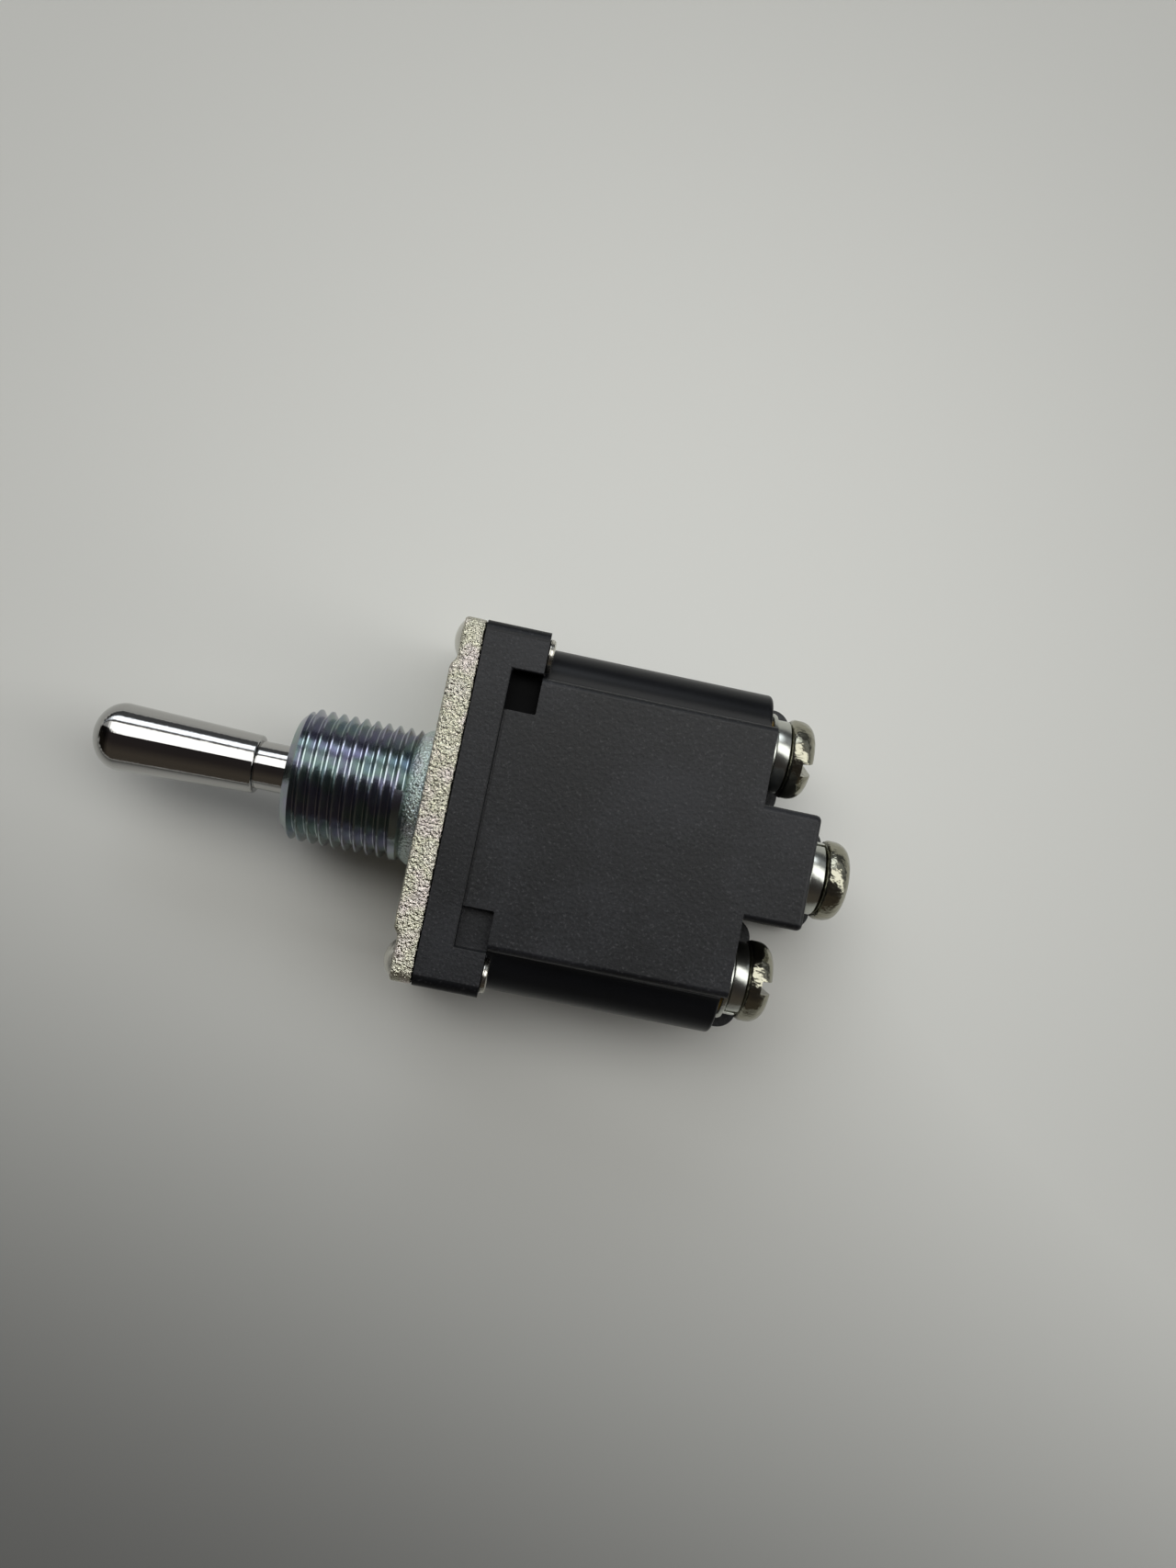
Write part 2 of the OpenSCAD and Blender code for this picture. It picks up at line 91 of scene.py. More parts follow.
def roundEdges(obj, width, segments, angle):  # width in mm, angle in degrees
    applyModifier(obj, "BEVEL", {"width": width * mm, "segments": segments,
                                 "limit_method": "ANGLE", "angle_limit": math.radians(angle)})


def smoothShade(obj, angle):  # flat faces stay flat beside rounded edges
    pickOnly(obj)
    bpy.ops.object.shade_smooth_by_angle(angle=math.radians(angle))
    applyModifier(obj, "WEIGHTED_NORMAL", {"keep_sharp": True})


def drawProfile(name, points, centre, closed):  # points (x, radius) in mm, beside an axis along X
    clearPick()
    bpy.ops.mesh.primitive_plane_add(size=mm, location=(0, 0, 0))
    obj = bpy.context.object
    obj.name = name
    editPiece(obj)
    bpy.ops.mesh.merge(type="CENTER")
    places = [Vector((x, centre[0], centre[1] + r)) * mm for x, r in points]
    bpy.ops.transform.translate(value=places[0])
    for here, there in zip(places, places[1:]):
        bpy.ops.mesh.extrude_region_move(TRANSFORM_OT_translate={"value": there - here})
    bpy.ops.mesh.select_all(action="SELECT")
    if closed:  # joins the two ends, and keeps the edges alone
        bpy.ops.mesh.edge_face_add()
        bpy.ops.mesh.select_all(action="SELECT")
        bpy.ops.mesh.delete(type="ONLY_FACE")
        bpy.ops.mesh.select_all(action="SELECT")
    return obj


def turnPiece(name, points, centre=(0, 0), steps=96, closed=False):  # turned about an axis along X
    obj = drawProfile(name, points, centre, closed)
    bpy.ops.mesh.spin(steps=steps, angle=2 * math.pi, axis=(1, 0, 0),
                      center=(0, centre[0] * mm, centre[1] * mm))
    bpy.ops.mesh.select_all(action="SELECT")
    bpy.ops.mesh.remove_doubles(threshold=0.002 * mm)
    bpy.ops.mesh.normals_make_consistent(inside=False)
    setMode("OBJECT")
    return obj


def sweepPiece(name, points, angle, rise, turns, steps):  # winds a closed profile about X, ends capped
    obj = drawProfile(name, points, (0, 0), True)
    setMode("OBJECT")
    applyModifier(obj, "SCREW", {"axis": "X", "angle": math.radians(angle), "screw_offset": rise * mm,
                                 "iterations": turns, "steps": steps, "render_steps": steps})
    editPiece(obj)
    bpy.ops.mesh.fill_holes(sides=0)
    bpy.ops.mesh.select_all(action="SELECT")
    bpy.ops.mesh.normals_make_consistent(inside=False)
    setMode("OBJECT")
    return obj


def block(name, corner, far):  # a box between two corners, in mm
    clearPick()
    bpy.ops.mesh.primitive_cube_add(size=1, location=(0, 0, 0))
    obj = bpy.context.object
    obj.name = name
    editPiece(obj)
    bpy.ops.transform.resize(value=[(b - a) * mm for a, b in zip(corner, far)])
    bpy.ops.transform.translate(value=[(a + b) / 2 * mm for a, b in zip(corner, far)])
    setMode("OBJECT")
    return obj


def spinAboutX(obj, degrees, y):  # turns the mesh, so that the piece itself stays unturned
    editPiece(obj)
    bpy.ops.transform.rotate(value=-math.radians(degrees), orient_axis="X",
                             center_override=(0, y * mm, 0))
    setMode("OBJECT")


def roundPath(cx, cy, r, start, end, steps):  # points of an arc, in degrees
    angles = [math.radians(start + (end - start) * i / steps) for i in range(steps + 1)]
    return [(cx + r * math.cos(a), cy + r * math.sin(a)) for a in angles]


def linear(hexText):  # sRGB hex to the linear colour that a node wants
    out = []
    for i in (0, 2, 4):
        c = int(hexText[i:i + 2], 16) / 255
        out.append(c / 12.92 if c <= 0.04045 else ((c + 0.055) / 1.055) ** 2.4)
    return (*out, 1.0)


def addNode(tree, kind, settings=None, inputs=None):
    node = tree.nodes.new(kind)
    for key, value in (settings or {}).items():
        setattr(node, key, value)
    for key, value in (inputs or {}).items():
        if isinstance(value, bpy.types.NodeSocket):
            tree.links.new(value, node.inputs[key])
        else:
            node.inputs[key].default_value = value
    return node


def addRange(tree, value, start, end, toMin=0.0, toMax=1.0, kind="SMOOTHSTEP"):
    return addNode(tree, "ShaderNodeMapRange", {"interpolation_type": kind},
                   {"Value": value, "From Min": start, "From Max": end,
                    "To Min": toMin, "To Max": toMax}).outputs["Result"]


def addMath(tree, operation, *values):
    return addNode(tree, "ShaderNodeMath", {"operation": operation},
                   dict(enumerate(values))).outputs["Value"]


def addMix(tree, factor, first, second, blend="MIX"):
    return addNode(tree, "ShaderNodeMix", {"data_type": "RGBA", "blend_type": blend},
                   {"Factor": factor, "A": first, "B": second}).outputs["Result"]


def addRamp(tree, value, stops):
    ramp = addNode(tree, "ShaderNodeValToRGB", inputs={"Fac": value})
    band = ramp.color_ramp
    while len(band.elements) < len(stops):
        band.elements.new(0.5)
    for element, (at, colour) in zip(band.elements, stops):
        element.position = at
        element.color = colour
    return ramp.outputs["Color"]


def addGrain(tree, place, size, detail, roughness=0.5):  # noise with cells of about size mm
    return addNode(tree, "ShaderNodeTexNoise",
                   inputs={"Vector": place, "Scale": 1 / (size * mm), "Detail": detail,
                           "Roughness": roughness}).outputs["Fac"]


def addBump(tree, shader, height, strength, depth):  # depth in mm
    bump = addNode(tree, "ShaderNodeBump",
                   inputs={"Height": height, "Strength": strength, "Distance": depth * mm})
    tree.links.new(bump.outputs["Normal"], shader.inputs["Normal"])


def startMaterial(name, metal=0.0):
    mat = bpy.data.materials.new(name)
    mat.use_nodes = True
    tree = mat.node_tree
    shader = tree.nodes["Principled BSDF"]
    shader.inputs["Metallic"].default_value = metal
    return mat, tree, shader, addNode(tree, "ShaderNodeTexCoord").outputs["Object"]


def coat(obj, *mats):  # gives a frame node or a new piece its materials
    obj.data.materials.clear()
    for mat in mats:
        obj.data.materials.append(mat)


def standIn(obj, node, *mats):  # a new piece on the switch's own body, in place of a frame node
    coat(obj, *mats)
    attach(obj, "switch")
    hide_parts(node)


view = {
    "place": (8.242, -4.727, 105.349),  # mm, close above the switch
    "turn": (4.165, -3.867, 11.448),  # degrees
    "lens": 27.06,  # mm on a 36 mm long side
    "nearest": 5,  # mm
}
scene = bpy.context.scene
eye = bpy.data.objects.new("eye", bpy.data.cameras.new("eye"))
scene.collection.objects.link(eye)
eye.location = Vector(view["place"]) * mm
eye.rotation_euler = [math.radians(a) for a in view["turn"]]
eye.data.lens = view["lens"]
eye.data.clip_start = view["nearest"] * mm
scene.camera = eye
scene.render.resolution_x = 1280
scene.render.resolution_y = 1707
scene.view_settings.view_transform = "Standard"

table = {  # metres
    "size": 3.0, "pale": "eeeee9", "paintedShadowTone": "646462", "rough": 0.8, "shine": 0.2,
    "from": (0.018, 0.024), "to": (-0.0095, -0.0865),  # where the painted shadow of the maker starts, where it is full
    "spot": (0.020, 0.025), "spread": (0.0, 0.1), "fade": 0.3,  # centre of the painted pool of light, and its fall-off
    "past": (0.12, 0.3), "pastLevel": 0.3,  # the painted shadow thins again this far out
}


def makeTable():  # matt laminate with painted light and shade: paler at the far side, a painted pool of light round the switch, and the maker's shadow painted in where it falls
    clearPick()
    bpy.ops.mesh.primitive_plane_add(size=table["size"], location=(0, 0, low[2]))
    top = bpy.context.object
    top.name = "tableTop"
    mat, tree, shader, place = startMaterial("laminateTable")
    start, end = Vector((*table["from"], 0)), Vector((*table["to"], 0))
    aim = (end - start) / (end - start).length_squared
    offset = addNode(tree, "ShaderNodeVectorMath", {"operation": "SUBTRACT"},
                     {0: place, 1: tuple(start)}).outputs["Vector"]
    along = addNode(tree, "ShaderNodeVectorMath", {"operation": "DOT_PRODUCT"},
                    {0: offset, 1: tuple(aim)}).outputs["Value"]
    away = addNode(tree, "ShaderNodeVectorMath", {"operation": "DISTANCE"},
                   {0: place, 1: (*table["spot"], 0)}).outputs["Value"]
    # painted shade: the maker's shadow, lifted by the painted pool of light round the spot, then thinning
    # far out
    shade = addRange(tree, along, 0, 1)
    ring = addRange(tree, away, *table["spread"], toMax=table["fade"])
    beyond = addRange(tree, away, *table["past"], toMin=1.0, toMax=table["pastLevel"])
    paintedShade = addMath(tree, "MULTIPLY", addMath(tree, "MAXIMUM", shade, ring), beyond)
    tone = addMix(tree, paintedShade, linear(table["pale"]), linear(table["paintedShadowTone"]))
    tree.links.new(tone, shader.inputs["Base Color"])
    shader.inputs["Roughness"].default_value = table["rough"]
    shader.inputs["Specular IOR Level"].default_value = table["shine"]
    coat(top, mat)


makeTable()

room = {  # bands and window: degrees off overhead towards the light side, and how bright it is there
    "side": (0.25, 0.97, 0), "strength": 2.85,
    "bands": [(-180, "26231f"), (-60, "2b2722"), (-30, "1a1716"), (4, "161415"), (8, "f0f0ee"),
              (35, "f0f0ee"), (38, "24221f"), (66, "2e2f30"), (100, "2e2f30")],
    "window": [(44, "000000"), (47, "f2f8ff"), (62, "f2f8ff"), (65, "000000")],
    "left": (-0.85, -0.5), "leftLevel": 0.15,  # the room is darker far to the left
    "windowEnd": (-0.1, 0.2), "windowLevel": 0.1,  # the window ends to the right
}


def makeRoom():  # two bright panels on the far side, the maker's dark shape overhead and on the near side
    world = bpy.data.worlds.new("room")
    scene.world = world
    world.use_nodes = True
    tree = world.node_tree
    back = tree.nodes["Background"]
    gaze = addNode(tree, "ShaderNodeTexCoord").outputs["Generated"]
    parts = addNode(tree, "ShaderNodeSeparateXYZ", inputs={"Vector": gaze})
    side = addNode(tree, "ShaderNodeVectorMath", {"operation": "DOT_PRODUCT"},
                   {0: gaze, 1: room["side"]}).outputs["Value"]
    angle = addMath(tree, "ARCTAN2", side, parts.outputs["Z"])
    turn = addRange(tree, angle, -math.pi, math.pi, kind="LINEAR")
    bands, window = [addRamp(tree, turn, [((deg + 180) / 360, linear(tint)) for deg, tint in room[key]])
                     for key in ("bands", "window")]
    reach = addRange(tree, parts.outputs["X"], *room["windowEnd"], toMin=1.0, toMax=room["windowLevel"])
    panels = addMix(tree, reach, bands, window, "ADD")
    left = addRange(tree, parts.outputs["X"], *room["left"], toMin=room["leftLevel"])
    level = addMath(tree, "MULTIPLY", left, room["strength"])
    tree.links.new(panels, back.inputs["Color"])
    tree.links.new(level, back.inputs["Strength"])


makeRoom()
print("camera, table and light set")


def mouldedThermoset(name, grainDepth, rough, shine, flecks, stops):
    # Filled thermoset from a spark-eroded tool: near black, an even fine grain, pale specks of filler
    mat, tree, shader, place = startMaterial(name)
    grain = addGrain(tree, place, 0.3333, 3, 0.6)
    patch = addGrain(tree, place, 9.0909, 4)
    speck = addGrain(tree, place, 0.2174, 1)
    blend = addMath(tree, "MULTIPLY_ADD", speck, 0.5, patch)
    tone = addRamp(tree, blend, [(at, linear(tint)) for at, tint in stops])
    fleck = addRange(tree, speck, 0.64, 0.74, toMax=flecks, kind="LINEAR")
    tree.links.new(addMix(tree, fleck, tone, linear("8e8d8c")), shader.inputs["Base Color"])
    uneven = addRange(tree, patch, 0, 1, rough - 0.05, rough + 0.05, "LINEAR")
    tree.links.new(uneven, shader.inputs["Roughness"])
    shader.inputs["Specular IOR Level"].default_value = shine
    addBump(tree, shader, grain, grainDepth, 0.05)
    return mat


def castChromate(name, roughness, stops):
    # Aluminium, sand cast, under a clear chromate film: a sharp sparkling grain of about 0.2 mm
    mat, tree, shader, place = startMaterial(name, 1.0)
    grain = addGrain(tree, place, 0.2381, 2, 0.55)
    film = addGrain(tree, place, 2.381, 2)
    tone = addRamp(tree, film, [(at, linear(tint)) for at, tint in stops])
    tree.links.new(tone, shader.inputs["Base Color"])
    shader.inputs["Roughness"].default_value = roughness
    addBump(tree, shader, grain, 1.0, 0.24)
    return mat


def threadChromate():
    # The same metal where it is turned and threaded: smooth, the film's blue, green and violet tints
    mat, tree, shader, place = startMaterial("chromatedThread", 1.0)
    film = addGrain(tree, place, 3.8462, 3)
    tints = [(0.30, "8c99a6"), (0.45, "97a5a2"), (0.56, "9897a9"), (0.70, "a8b0b6")]
    tone = addRamp(tree, film, [(at, linear(tint)) for at, tint in tints])
    tree.links.new(tone, shader.inputs["Base Color"])
    shader.inputs["Roughness"].default_value = 0.2
    addBump(tree, shader, addGrain(tree, place, 0.38462, 2), 0.25, 0.04)
    return mat


def polishedChrome():
    # Brass bar, turned, buffed and chrome plated: a clean mirror with faint smears
    mat, tree, shader, place = startMaterial("polishedChrome", 1.0)
    shader.inputs["Base Color"].default_value = linear("b8b7b5")
    smear = addGrain(tree, place, 4.1667, 4)
    tree.links.new(addRange(tree, smear, 0, 1, 0.05, 0.15, "LINEAR"), shader.inputs["Roughness"])
    addBump(tree, shader, addGrain(tree, place, 0.27778, 2), 0.12, 0.04)
    return mat


def nickelPlate(name, tint, roughness, dent, depth):
    # Steel, cold headed and nickel plated: warm grey, softly dented by the header and the barrel
    mat, tree, shader, place = startMaterial(name, 1.0)
    shader.inputs["Base Color"].default_value = linear(tint)
    shader.inputs["Roughness"].default_value = roughness
    addBump(tree, shader, addGrain(tree, place, dent, 2), depth, 0.2)
    return mat


def innerFinish(name, tint, roughness, metal=0.0):
    # A plain working finish for what stays inside: slightly uneven in tone, as such parts are made
    mat, tree, shader, place = startMaterial(name, metal)
    shader.inputs["Roughness"].default_value = roughness
    patch = addGrain(tree, place, 1.6667, 3)
    base = linear(tint)
    dull = (*[c * 0.82 for c in base[:3]], 1)
    tree.links.new(addRamp(tree, patch, [(0.3, dull), (0.7, base)]), shader.inputs["Base Color"])
    addBump(tree, shader, patch, 0.15, 0.05)
    return mat


grainThermoset = mouldedThermoset("mouldedThermoset", 0.5, 0.42, 0.36, 0.09,
                                  [(0.45, "0d0e10"), (0.72, "131417"), (0.93, "222327")])
satinThermoset = mouldedThermoset("satinThermoset", 0.25, 0.36, 0.24, 0.07,  # worn smoother: flange, ears
                                  [(0.45, "090a0b"), (0.72, "0d0e10"), (0.93, "151619")])
smoothThermoset = mouldedThermoset("smoothThermoset", 0.1, 0.3, 0.2, 0.0,  # polished tool: the ribs
                                   [(0.45, "101113"), (0.95, "151619")])
paintedPocketShade = mouldedThermoset("paintedShadeThermoset", 0.1, 0.5, 0.06, 0.0,  # painted shade: the upper pocket, near black for the shadow inside it
                                [(0.45, "030304"), (0.95, "050506")])
casting = castChromate("chromatedCasting", 0.2, [(0.30, "d2cec1"), (0.50, "cdcbb6"), (0.68, "d4cbc4")])
collarMetal = castChromate("chromatedCollar", 0.24, [(0.30, "c0cccf"), (0.50, "c2d0cb"), (0.68, "cacdd3")])
threadMetal = threadChromate()
chrome = polishedChrome()
screwNickel = nickelPlate("nickelScrew", "9d9b8b", 0.19, 0.71429, 0.6)
washerNickel = nickelPlate("nickelWasher", "bfc1ba", 0.24, 1.42857, 0.2)
rivetNickel = nickelPlate("nickelRivet", "d2d0c8", 0.2, 1.25, 0.3)
nylon = innerFinish("naturalNylon", "dcd8c8", 0.4)
brass = innerFinish("turnedBrass", "c9a557", 0.25, 1.0)
silver = innerFinish("fineSilver", "dedcd6", 0.3, 1.0)
rubber = innerFinish("nitrileRubber", "1c1c1c", 0.6)
groundSteel = innerFinish("groundSteel", "a9a9a6", 0.25, 1.0)
finishes = {
    "case": grainThermoset, "bushing_plate": casting, "lever": chrome,
    "actuator_cup": nylon, "plunger": nylon, "rocker_cam": nylon,
    "moving_contact": brass, "common_terminal": brass,
    "fixed_terminal_1": brass, "fixed_terminal_3": brass,
    "moving_tips": silver, "fixed_tip_1": silver, "fixed_tip_3": silver,
    "lever_seal": rubber, "cover_gasket": rubber, "pivot_pin": groundSteel,
    "rocker_pin": groundSteel, "pivot_sleeve": groundSteel, "plunger_spring": groundSteel,
}
for name, obj in nodes.items():
    coat(obj, finishes.get(name, washerNickel))
print("materials worn")

bushing = {  # mm, along X and from the axis
    "rim": -11.9, "chamfer": 0.9, "rimEdge": [(-11.78, 5.05), (-11.9, 4.9)],
    "threadR": 5.9, "collarR": 6.1, "collarX": -1.4, "foot": 0.35, "seat": -0.02, "back": 2.3,
    "collarTurn": [(-0.7, 0.03), (-1.05, 0.22)],  # x, and how far under the collar's radius
    "relief": 0.3,  # where the thread begins
    "bore": [(-11.9, 4.32), (-11.78, 4.2), (-8.2, 3.02), (-8.2, 3.99), (-7.06, 3.99), (-7.06, 3.28),
             (-6.6, 3.42), (-6.6, 4.22), (2.3, 4.22)],  # mouth, seal's groove, sleeve's seat
    "pitch": 1.0, "threadDepth": 0.6, "crest": 0.13, "root": 0.08, "over": 0.06, "runOut": 0.35,
    "keyW": 1.8, "keyDepth": 0.75, "steps": 120, "threadSteps": 96,
}


def makeBushing():
    b = bushing
    r, collarR, foot, collarX = b["threadR"], b["collarR"], b["foot"], b["collarX"]
    outer = [(b["back"], r), (b["seat"], r), (b["seat"], collarR + foot)]
    outer += [(-x, y) for x, y in roundPath(foot, collarR + foot, foot, 180, 270, 5)][1:]
    outer += [(x, collarR - drop) for x, drop in b["collarTurn"]]
    outer += [(collarX, r - b["relief"]), (collarX - b["relief"], r), (b["rim"] + b["chamfer"], r)]
    body = turnPiece("threadedBushing", outer + b["rimEdge"] + b["bore"], steps=b["steps"], closed=True)
    half = (b["pitch"] - b["crest"]) / 2
    reach = half + half / b["threadDepth"] * b["over"]
    start, rootR, overR = b["rim"] - b["pitch"], r - b["threadDepth"], r + b["over"]
    profile = [(start - reach, overR), (start, rootR), (start + b["root"], rootR), (start + reach, overR)]
    turns = int((collarX - start - b["runOut"]) / b["pitch"])
    cutAway(body, sweepPiece("grooveTool", profile, 360, b["pitch"], turns, b["threadSteps"]))
    cutAway(body, block("keyTool", (b["rim"] - 1, -b["keyW"] / 2, -8),
                        (collarX - 0.02, b["keyW"] / 2, -r + b["keyDepth"])))
    smoothShade(body, 30)
    standIn(body, "bushing_plate", threadMetal, collarMetal)
    for face in body.data.polygons:
        face.material_index = int(face.center.x > collarX * mm)
    print("bushing:", len(body.data.polygons), "faces")


makeBushing()

cover = {  # mm
    "thick": 2.4, "length": 31.0, "width": 16.1, "corner": 1.1, "cornerSteps": 6, "edge": 0.3,
    "stepLength": 3.9, "stepDepth": 0.45, "holeR": 5.9, "past": 1,
    "voxel": 0.14, "grainWidth": 0.27, "grainDepth": 0.07,
}


def makeCover():
    c = cover
    l, w, past = c["length"] / 2, c["width"] / 2, c["past"]
    inner = l - c["stepLength"]
    plate = block("castCover", (0, -l, -w), (c["thick"], l, w))
    editPiece(plate, "EDGE", "DESELECT")
    setMode("OBJECT")
    for edge in plate.data.edges:  # the four corner edges
        a, b = [plate.data.vertices[i].co for i in edge.vertices]
        edge.select = abs(a.x - b.x) > 1 * mm
    setMode("EDIT")
    bpy.ops.mesh.bevel(offset=c["corner"] * mm, segments=c["cornerSteps"], affect="EDGES")
    setMode("OBJECT")
    for side in (-1, 1):  # a sloped step at each end, under the rivet heads
        tool = block("stepTool", (-past, min(side * inner, side * (l + past)), -w - past),
                     (c["stepDepth"], max(side * inner, side * (l + past)), w + past))
        for v in tool.data.vertices:
            if abs(v.co.y) < (inner + 0.01) * mm and v.co.x < 0:
                v.co.y -= side * (c["stepDepth"] + past) * mm
        cutAway(plate, tool)
    cutAway(plate, turnPiece("holeTool", [(-past, 0), (-past, c["holeR"]), (4, c["holeR"]), (4, 0)],
                             steps=64))
    roundEdges(plate, c["edge"], 3, 30)
    applyModifier(plate, "REMESH", {"mode": "VOXEL", "voxel_size": c["voxel"] * mm, "adaptivity": 0})
    sand = bpy.data.textures.new("sandGrain", "CLOUDS")
    sand.noise_scale = c["grainWidth"] * mm
    sand.noise_depth = 1
    applyModifier(plate, "DISPLACE", {"texture": sand, "texture_coords": "LOCAL", "mid_level": 1.0,
                                      "strength": c["grainDepth"] * mm})
    smoothShade(plate, 80)
    standIn(plate, "bushing_plate", casting)
    print("cover:", len(plate.data.polygons), "faces")


makeCover()

caseTrim = {  # mm
    "edge": 0.15, "corner": 0.45, "rib": 0.3, "segments": 3,  # radii of plain edges, block and rib ends
    "flange": 5.2, "slabTop": 7.75, "line": (0.2, 0.16),  # the moulding line's width and depth
    "slab": 11.6, "seat": 28.2, "block": 33.3, "blockSide": 4.3, "blockFloor": -5,
    "pocketX": 8.6, "pocketIn": 8.3, "pocketZ": (5.5, 7.5), "ribStart": 8,
    "terminalY": 10.15, "terminalR": 3.4, "terminalX": 17,
    "rivetAt": (13.7, 5.9), "rivetR": 1.3, "face": 2.45, "hollow": (2.3, 18.7, 6.6),
}


def bevelEdges(obj, wanted, width, spare):  # rounds sharp edges that pass, if no neighbour is shorter
    editPiece(obj, "EDGE", "DESELECT")
    bpy.ops.mesh.edges_select_sharp(sharpness=math.radians(28))
    setMode("OBJECT")
    mesh = obj.data
    ends = [[mesh.vertices[i].co / mm for i in edge.vertices] for edge in mesh.edges]
    crowded = {i for edge, (a, b) in zip(mesh.edges, ends) if (a - b).length < spare
               for i in edge.vertices}
    mesh.polygons.foreach_set("select", [False] * len(mesh.polygons))
    mesh.vertices.foreach_set("select", [False] * len(mesh.vertices))
    for edge, (a, b) in zip(mesh.edges, ends):
        edge.select = edge.select and not crowded.intersection(edge.vertices) and wanted(a, b)
    print("rounded edges:", sum(edge.select for edge in mesh.edges))
    setMode("EDIT")
    bpy.ops.mesh.bevel(offset=width * mm, segments=caseTrim["segments"], affect="EDGES",
                       clamp_overlap=False)
    setMode("OBJECT")


def onFace(a, b, x):
    return min(a.x, b.x) > x - 0.05 and max(a.x, b.x) < x + 0.05


def ribEnd(a, b):
    c = caseTrim
    return (onFace(a, b, c["seat"]) and min(abs(a.y), abs(b.y)) > c["slab"] + 0.5
            and min(math.hypot(abs(p.y) - c["terminalY"], p.z) for p in (a, b)) > c["terminalR"] + 0.1)


def blockRim(a, b):
    c = caseTrim
    return (onFace(a, b, c["block"]) and min(abs(a.y), abs(b.y)) > c["blockSide"]
            and max(a.z, b.z) > c["blockFloor"])


def plainEdge(a, b):  # what can be seen, away from the bores and the rivets
    c, m = caseTrim, (a + b) / 2
    start, end, deep = c["hollow"]
    inside = start < m.x < end and abs(m.y) < c["slab"] - 0.2 and abs(m.z) < deep
    fromBores = min(math.hypot(abs(m.y) - c["terminalY"], m.z), math.hypot(m.y, m.z))
    fromRivets = math.hypot(abs(m.y) - c["rivetAt"][0], abs(m.z) - c["rivetAt"][1])
    bored = (m.x > c["terminalX"] and fromBores < c["terminalR"]) or fromRivets < c["rivetR"]
    return not (inside or bored or m.x < c["face"] or ribEnd(a, b) or blockRim(a, b))


def caseCoat(x, y, z):  # 0 grained, 1 satin, 2 smooth, 3 painted shade
    c = caseTrim
    past = abs(y) > c["slab"] + 0.1
    pocketed = c["flange"] + 0.05 < x < c["pocketX"] and c["pocketIn"] < abs(y) < c["slab"] + 0.2
    # inside the upper pocket the case wears near-black painted shade; the lower pocket keeps the plain
    # grain
    if pocketed and c["pocketZ"][0] < abs(z) < c["pocketZ"][1]:
        return 3 if y > 0 else 0
    return 2 if past and x > c["ribStart"] else int(x < c["flange"] or past)


def makeCase():
    c = caseTrim
    pickOnly(nodes["case"])
    bpy.ops.object.duplicate()
    body = bpy.context.object
    body.name = "mouldedCase"
    body.parent = None
    editPiece(body, "EDGE")
    bpy.ops.mesh.remove_doubles(threshold=0.002 * mm)
    bpy.ops.mesh.dissolve_limited(angle_limit=math.radians(0.4))
    setMode("OBJECT")
    near, far = c["slabTop"] - c["line"][1], c["slabTop"] + 1
    for side in (-1, 1):  # fine moulding line along the foot of the flange
        z = sorted((side * near, side * far))
        cutAway(body, block("lineTool", (c["flange"], -c["pocketIn"], z[0]),
                            (c["flange"] + c["line"][0], c["pocketIn"], z[1])))
    bevelEdges(body, blockRim, c["corner"], 0.05)
    bevelEdges(body, ribEnd, c["rib"], 0.15)
    bevelEdges(body, plainEdge, c["edge"], 0.33)
    smoothShade(body, 35)
    standIn(body, "case", grainThermoset, satinThermoset, smoothThermoset, paintedPocketShade)
    for face in body.data.polygons:
        face.material_index = caseCoat(*(face.center / mm))
    print("case:", len(body.data.polygons), "faces")


makeCase()

seats = {1: (28.7, 10.15), 2: (33.8, 0.0), 3: (28.7, -10.15)}  # mm: face of the barrel, place along Y
screw = {  # mm
    "headR": 3.6, "headH": 2.32, "roundR": 1.4, "under": [(0, 0.42), (0.14, 0.12), (0.36, 0)],
    "shank": 5.4, "shankR": 1.7, "tip": 0.4, "slotW": 1.1, "slotDepth": 1.1, "slotHalf": 6,
    "edge": 0.09, "turn": {1: 20, 2: 90, 3: 4},  # degrees each slot stopped at
}
washer = {  # mm
    "flatR": 3.75, "flatT": 0.5, "lockR": 3.3, "lockT": 1.36, "boreR": 1.95, "lift": 0.16, "sweep": 350,
    "edge": 0.08, "flatEdge": [(0, 0.05), (0.08, 0), (0.3, 0), (0.44, 0.06), (0.5, 0.2)],
}


def makeScrew(number):
    seat, y = seats[number]
    r, k, shankR, end = screw["headR"], screw["roundR"], screw["shankR"], seat - screw["shank"]
    under = seat + washer["flatT"] + washer["lockT"]
    top = under + screw["headH"]
    profile = [(end, 0), (end, shankR - screw["tip"]), (end + screw["tip"], shankR), (under, shankR)]
    profile += [(under + x, r - drop) for x, drop in screw["under"]]
    profile += roundPath(top - k, r - k, k, 90, 0, 9) + [(top, 0)]
    piece = turnPiece("panScrew_%d" % number, profile, centre=(y, 0), steps=72)
    slot = block("slotTool", (top - screw["slotDepth"], y - screw["slotW"] / 2, -screw["slotHalf"]),
                 (top + 1, y + screw["slotW"] / 2, screw["slotHalf"]))
    spinAboutX(slot, screw["turn"][number], y)
    cutAway(piece, slot)
    roundEdges(piece, screw["edge"], 2, 40)
    smoothShade(piece, 40)
    standIn(piece, "terminal_screw_%d" % number, screwNickel)


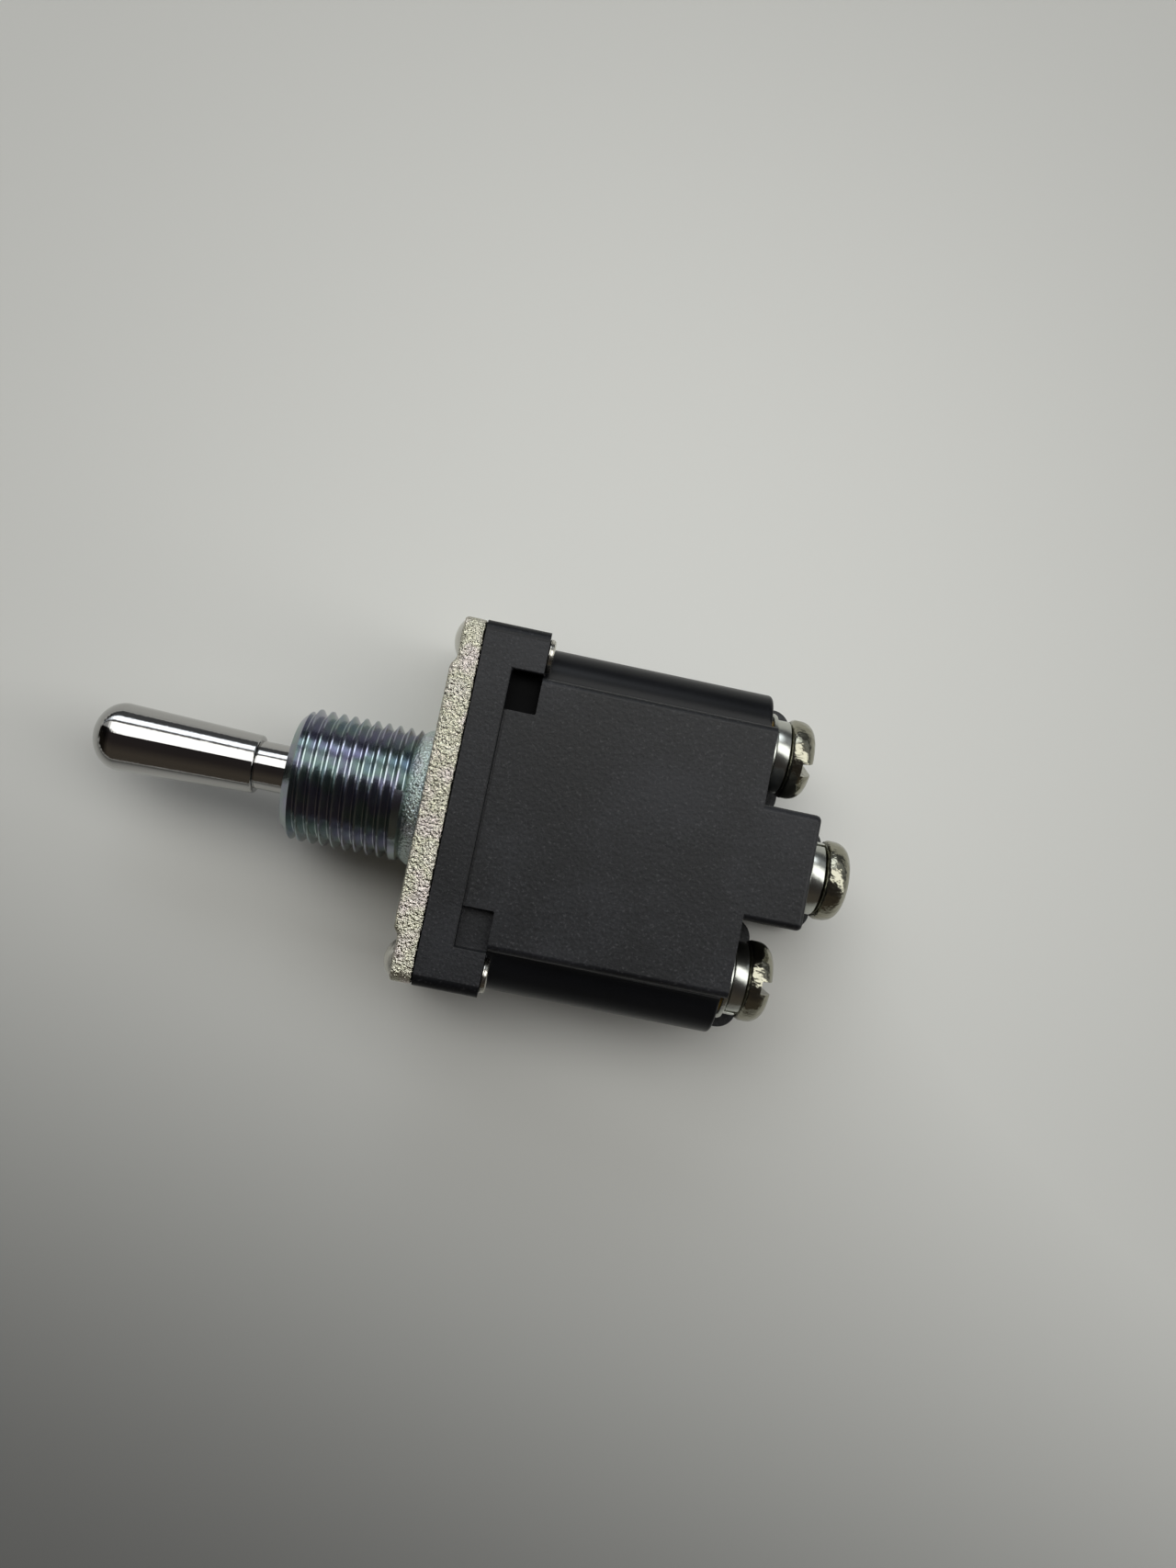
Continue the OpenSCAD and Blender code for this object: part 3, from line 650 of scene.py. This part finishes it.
def makeLockWasher(number):  # a ring of square wire, split and slightly sprung
    seat, y = seats[number]
    t, inR, outR = washer["lockT"] - washer["lift"], washer["boreR"], washer["lockR"]
    ring = sweepPiece("splitWasher_%d" % number, [(0, inR), (0, outR), (t, outR), (t, inR)],
                      washer["sweep"], washer["lift"], 1, 60)
    spinAboutX(ring, 130 * number + 40, 0)
    editPiece(ring)
    bpy.ops.transform.translate(value=((seat + washer["flatT"]) * mm, y * mm, 0))
    setMode("OBJECT")
    roundEdges(ring, washer["edge"], 2, 40)
    smoothShade(ring, 40)
    standIn(ring, "lock_washer_%d" % number, washerNickel)


def makeFlatWasher(number):  # punched: its edge is rounded on one face and sheared on the other
    seat, y = seats[number]
    profile = [(seat, washer["boreR"])]
    profile += [(seat + x, washer["flatR"] - drop) for x, drop in washer["flatEdge"]]
    profile += [(seat + washer["flatT"], washer["boreR"])]
    piece = turnPiece("punchedWasher_%d" % number, profile, centre=(y, 0), steps=72, closed=True)
    smoothShade(piece, 30)
    standIn(piece, "flat_washer_%d" % number, washerNickel)


for number in seats:
    makeScrew(number)
    makeLockWasher(number)
    makeFlatWasher(number)
print("screws and washers made")

rivet = {  # mm
    "at": {1: (13.7, 5.9), 2: (13.7, -5.9), 3: (-13.7, 5.9), 4: (-13.7, -5.9)},
    "head": 1.65, "headH": {1: 0.6, 2: 0.62, 3: 0.8, 4: 0.78}, "bodyR": 1.0, "front": 0.45, "back": 7.85,
    "tail": [(0, 1.0), (0, 1.4), (0.1, 1.5), (0.165, 1.5), (0.198, 1.45), (0.231, 1.5), (0.363, 1.48),
             (0.396, 1.42), (0.429, 1.45), (0.52, 1.3), (0.55, 1.1), (0.55, 0.75), (0.43, 0.6),
             (0.43, 0)],  # the rolled end, from the ear's back
}


def makeRivet(number):
    r, h, front = rivet["head"], rivet["headH"][number], rivet["front"]
    dome = (r * r + h * h) / (2 * h)
    edge = math.degrees(math.asin((dome - h) / dome))
    profile = roundPath(front + dome - h, 0, dome, 180, edge + 90, 10) + [(front, rivet["bodyR"])]
    profile += [(rivet["back"] + x, y) for x, y in rivet["tail"]]
    piece = turnPiece("rolledRivet_%d" % number, profile, centre=rivet["at"][number], steps=48)
    smoothShade(piece, 35)
    standIn(piece, "rivet_%d" % number, rivetNickel)


for number in rivet["at"]:
    makeRivet(number)
print("rivets made")
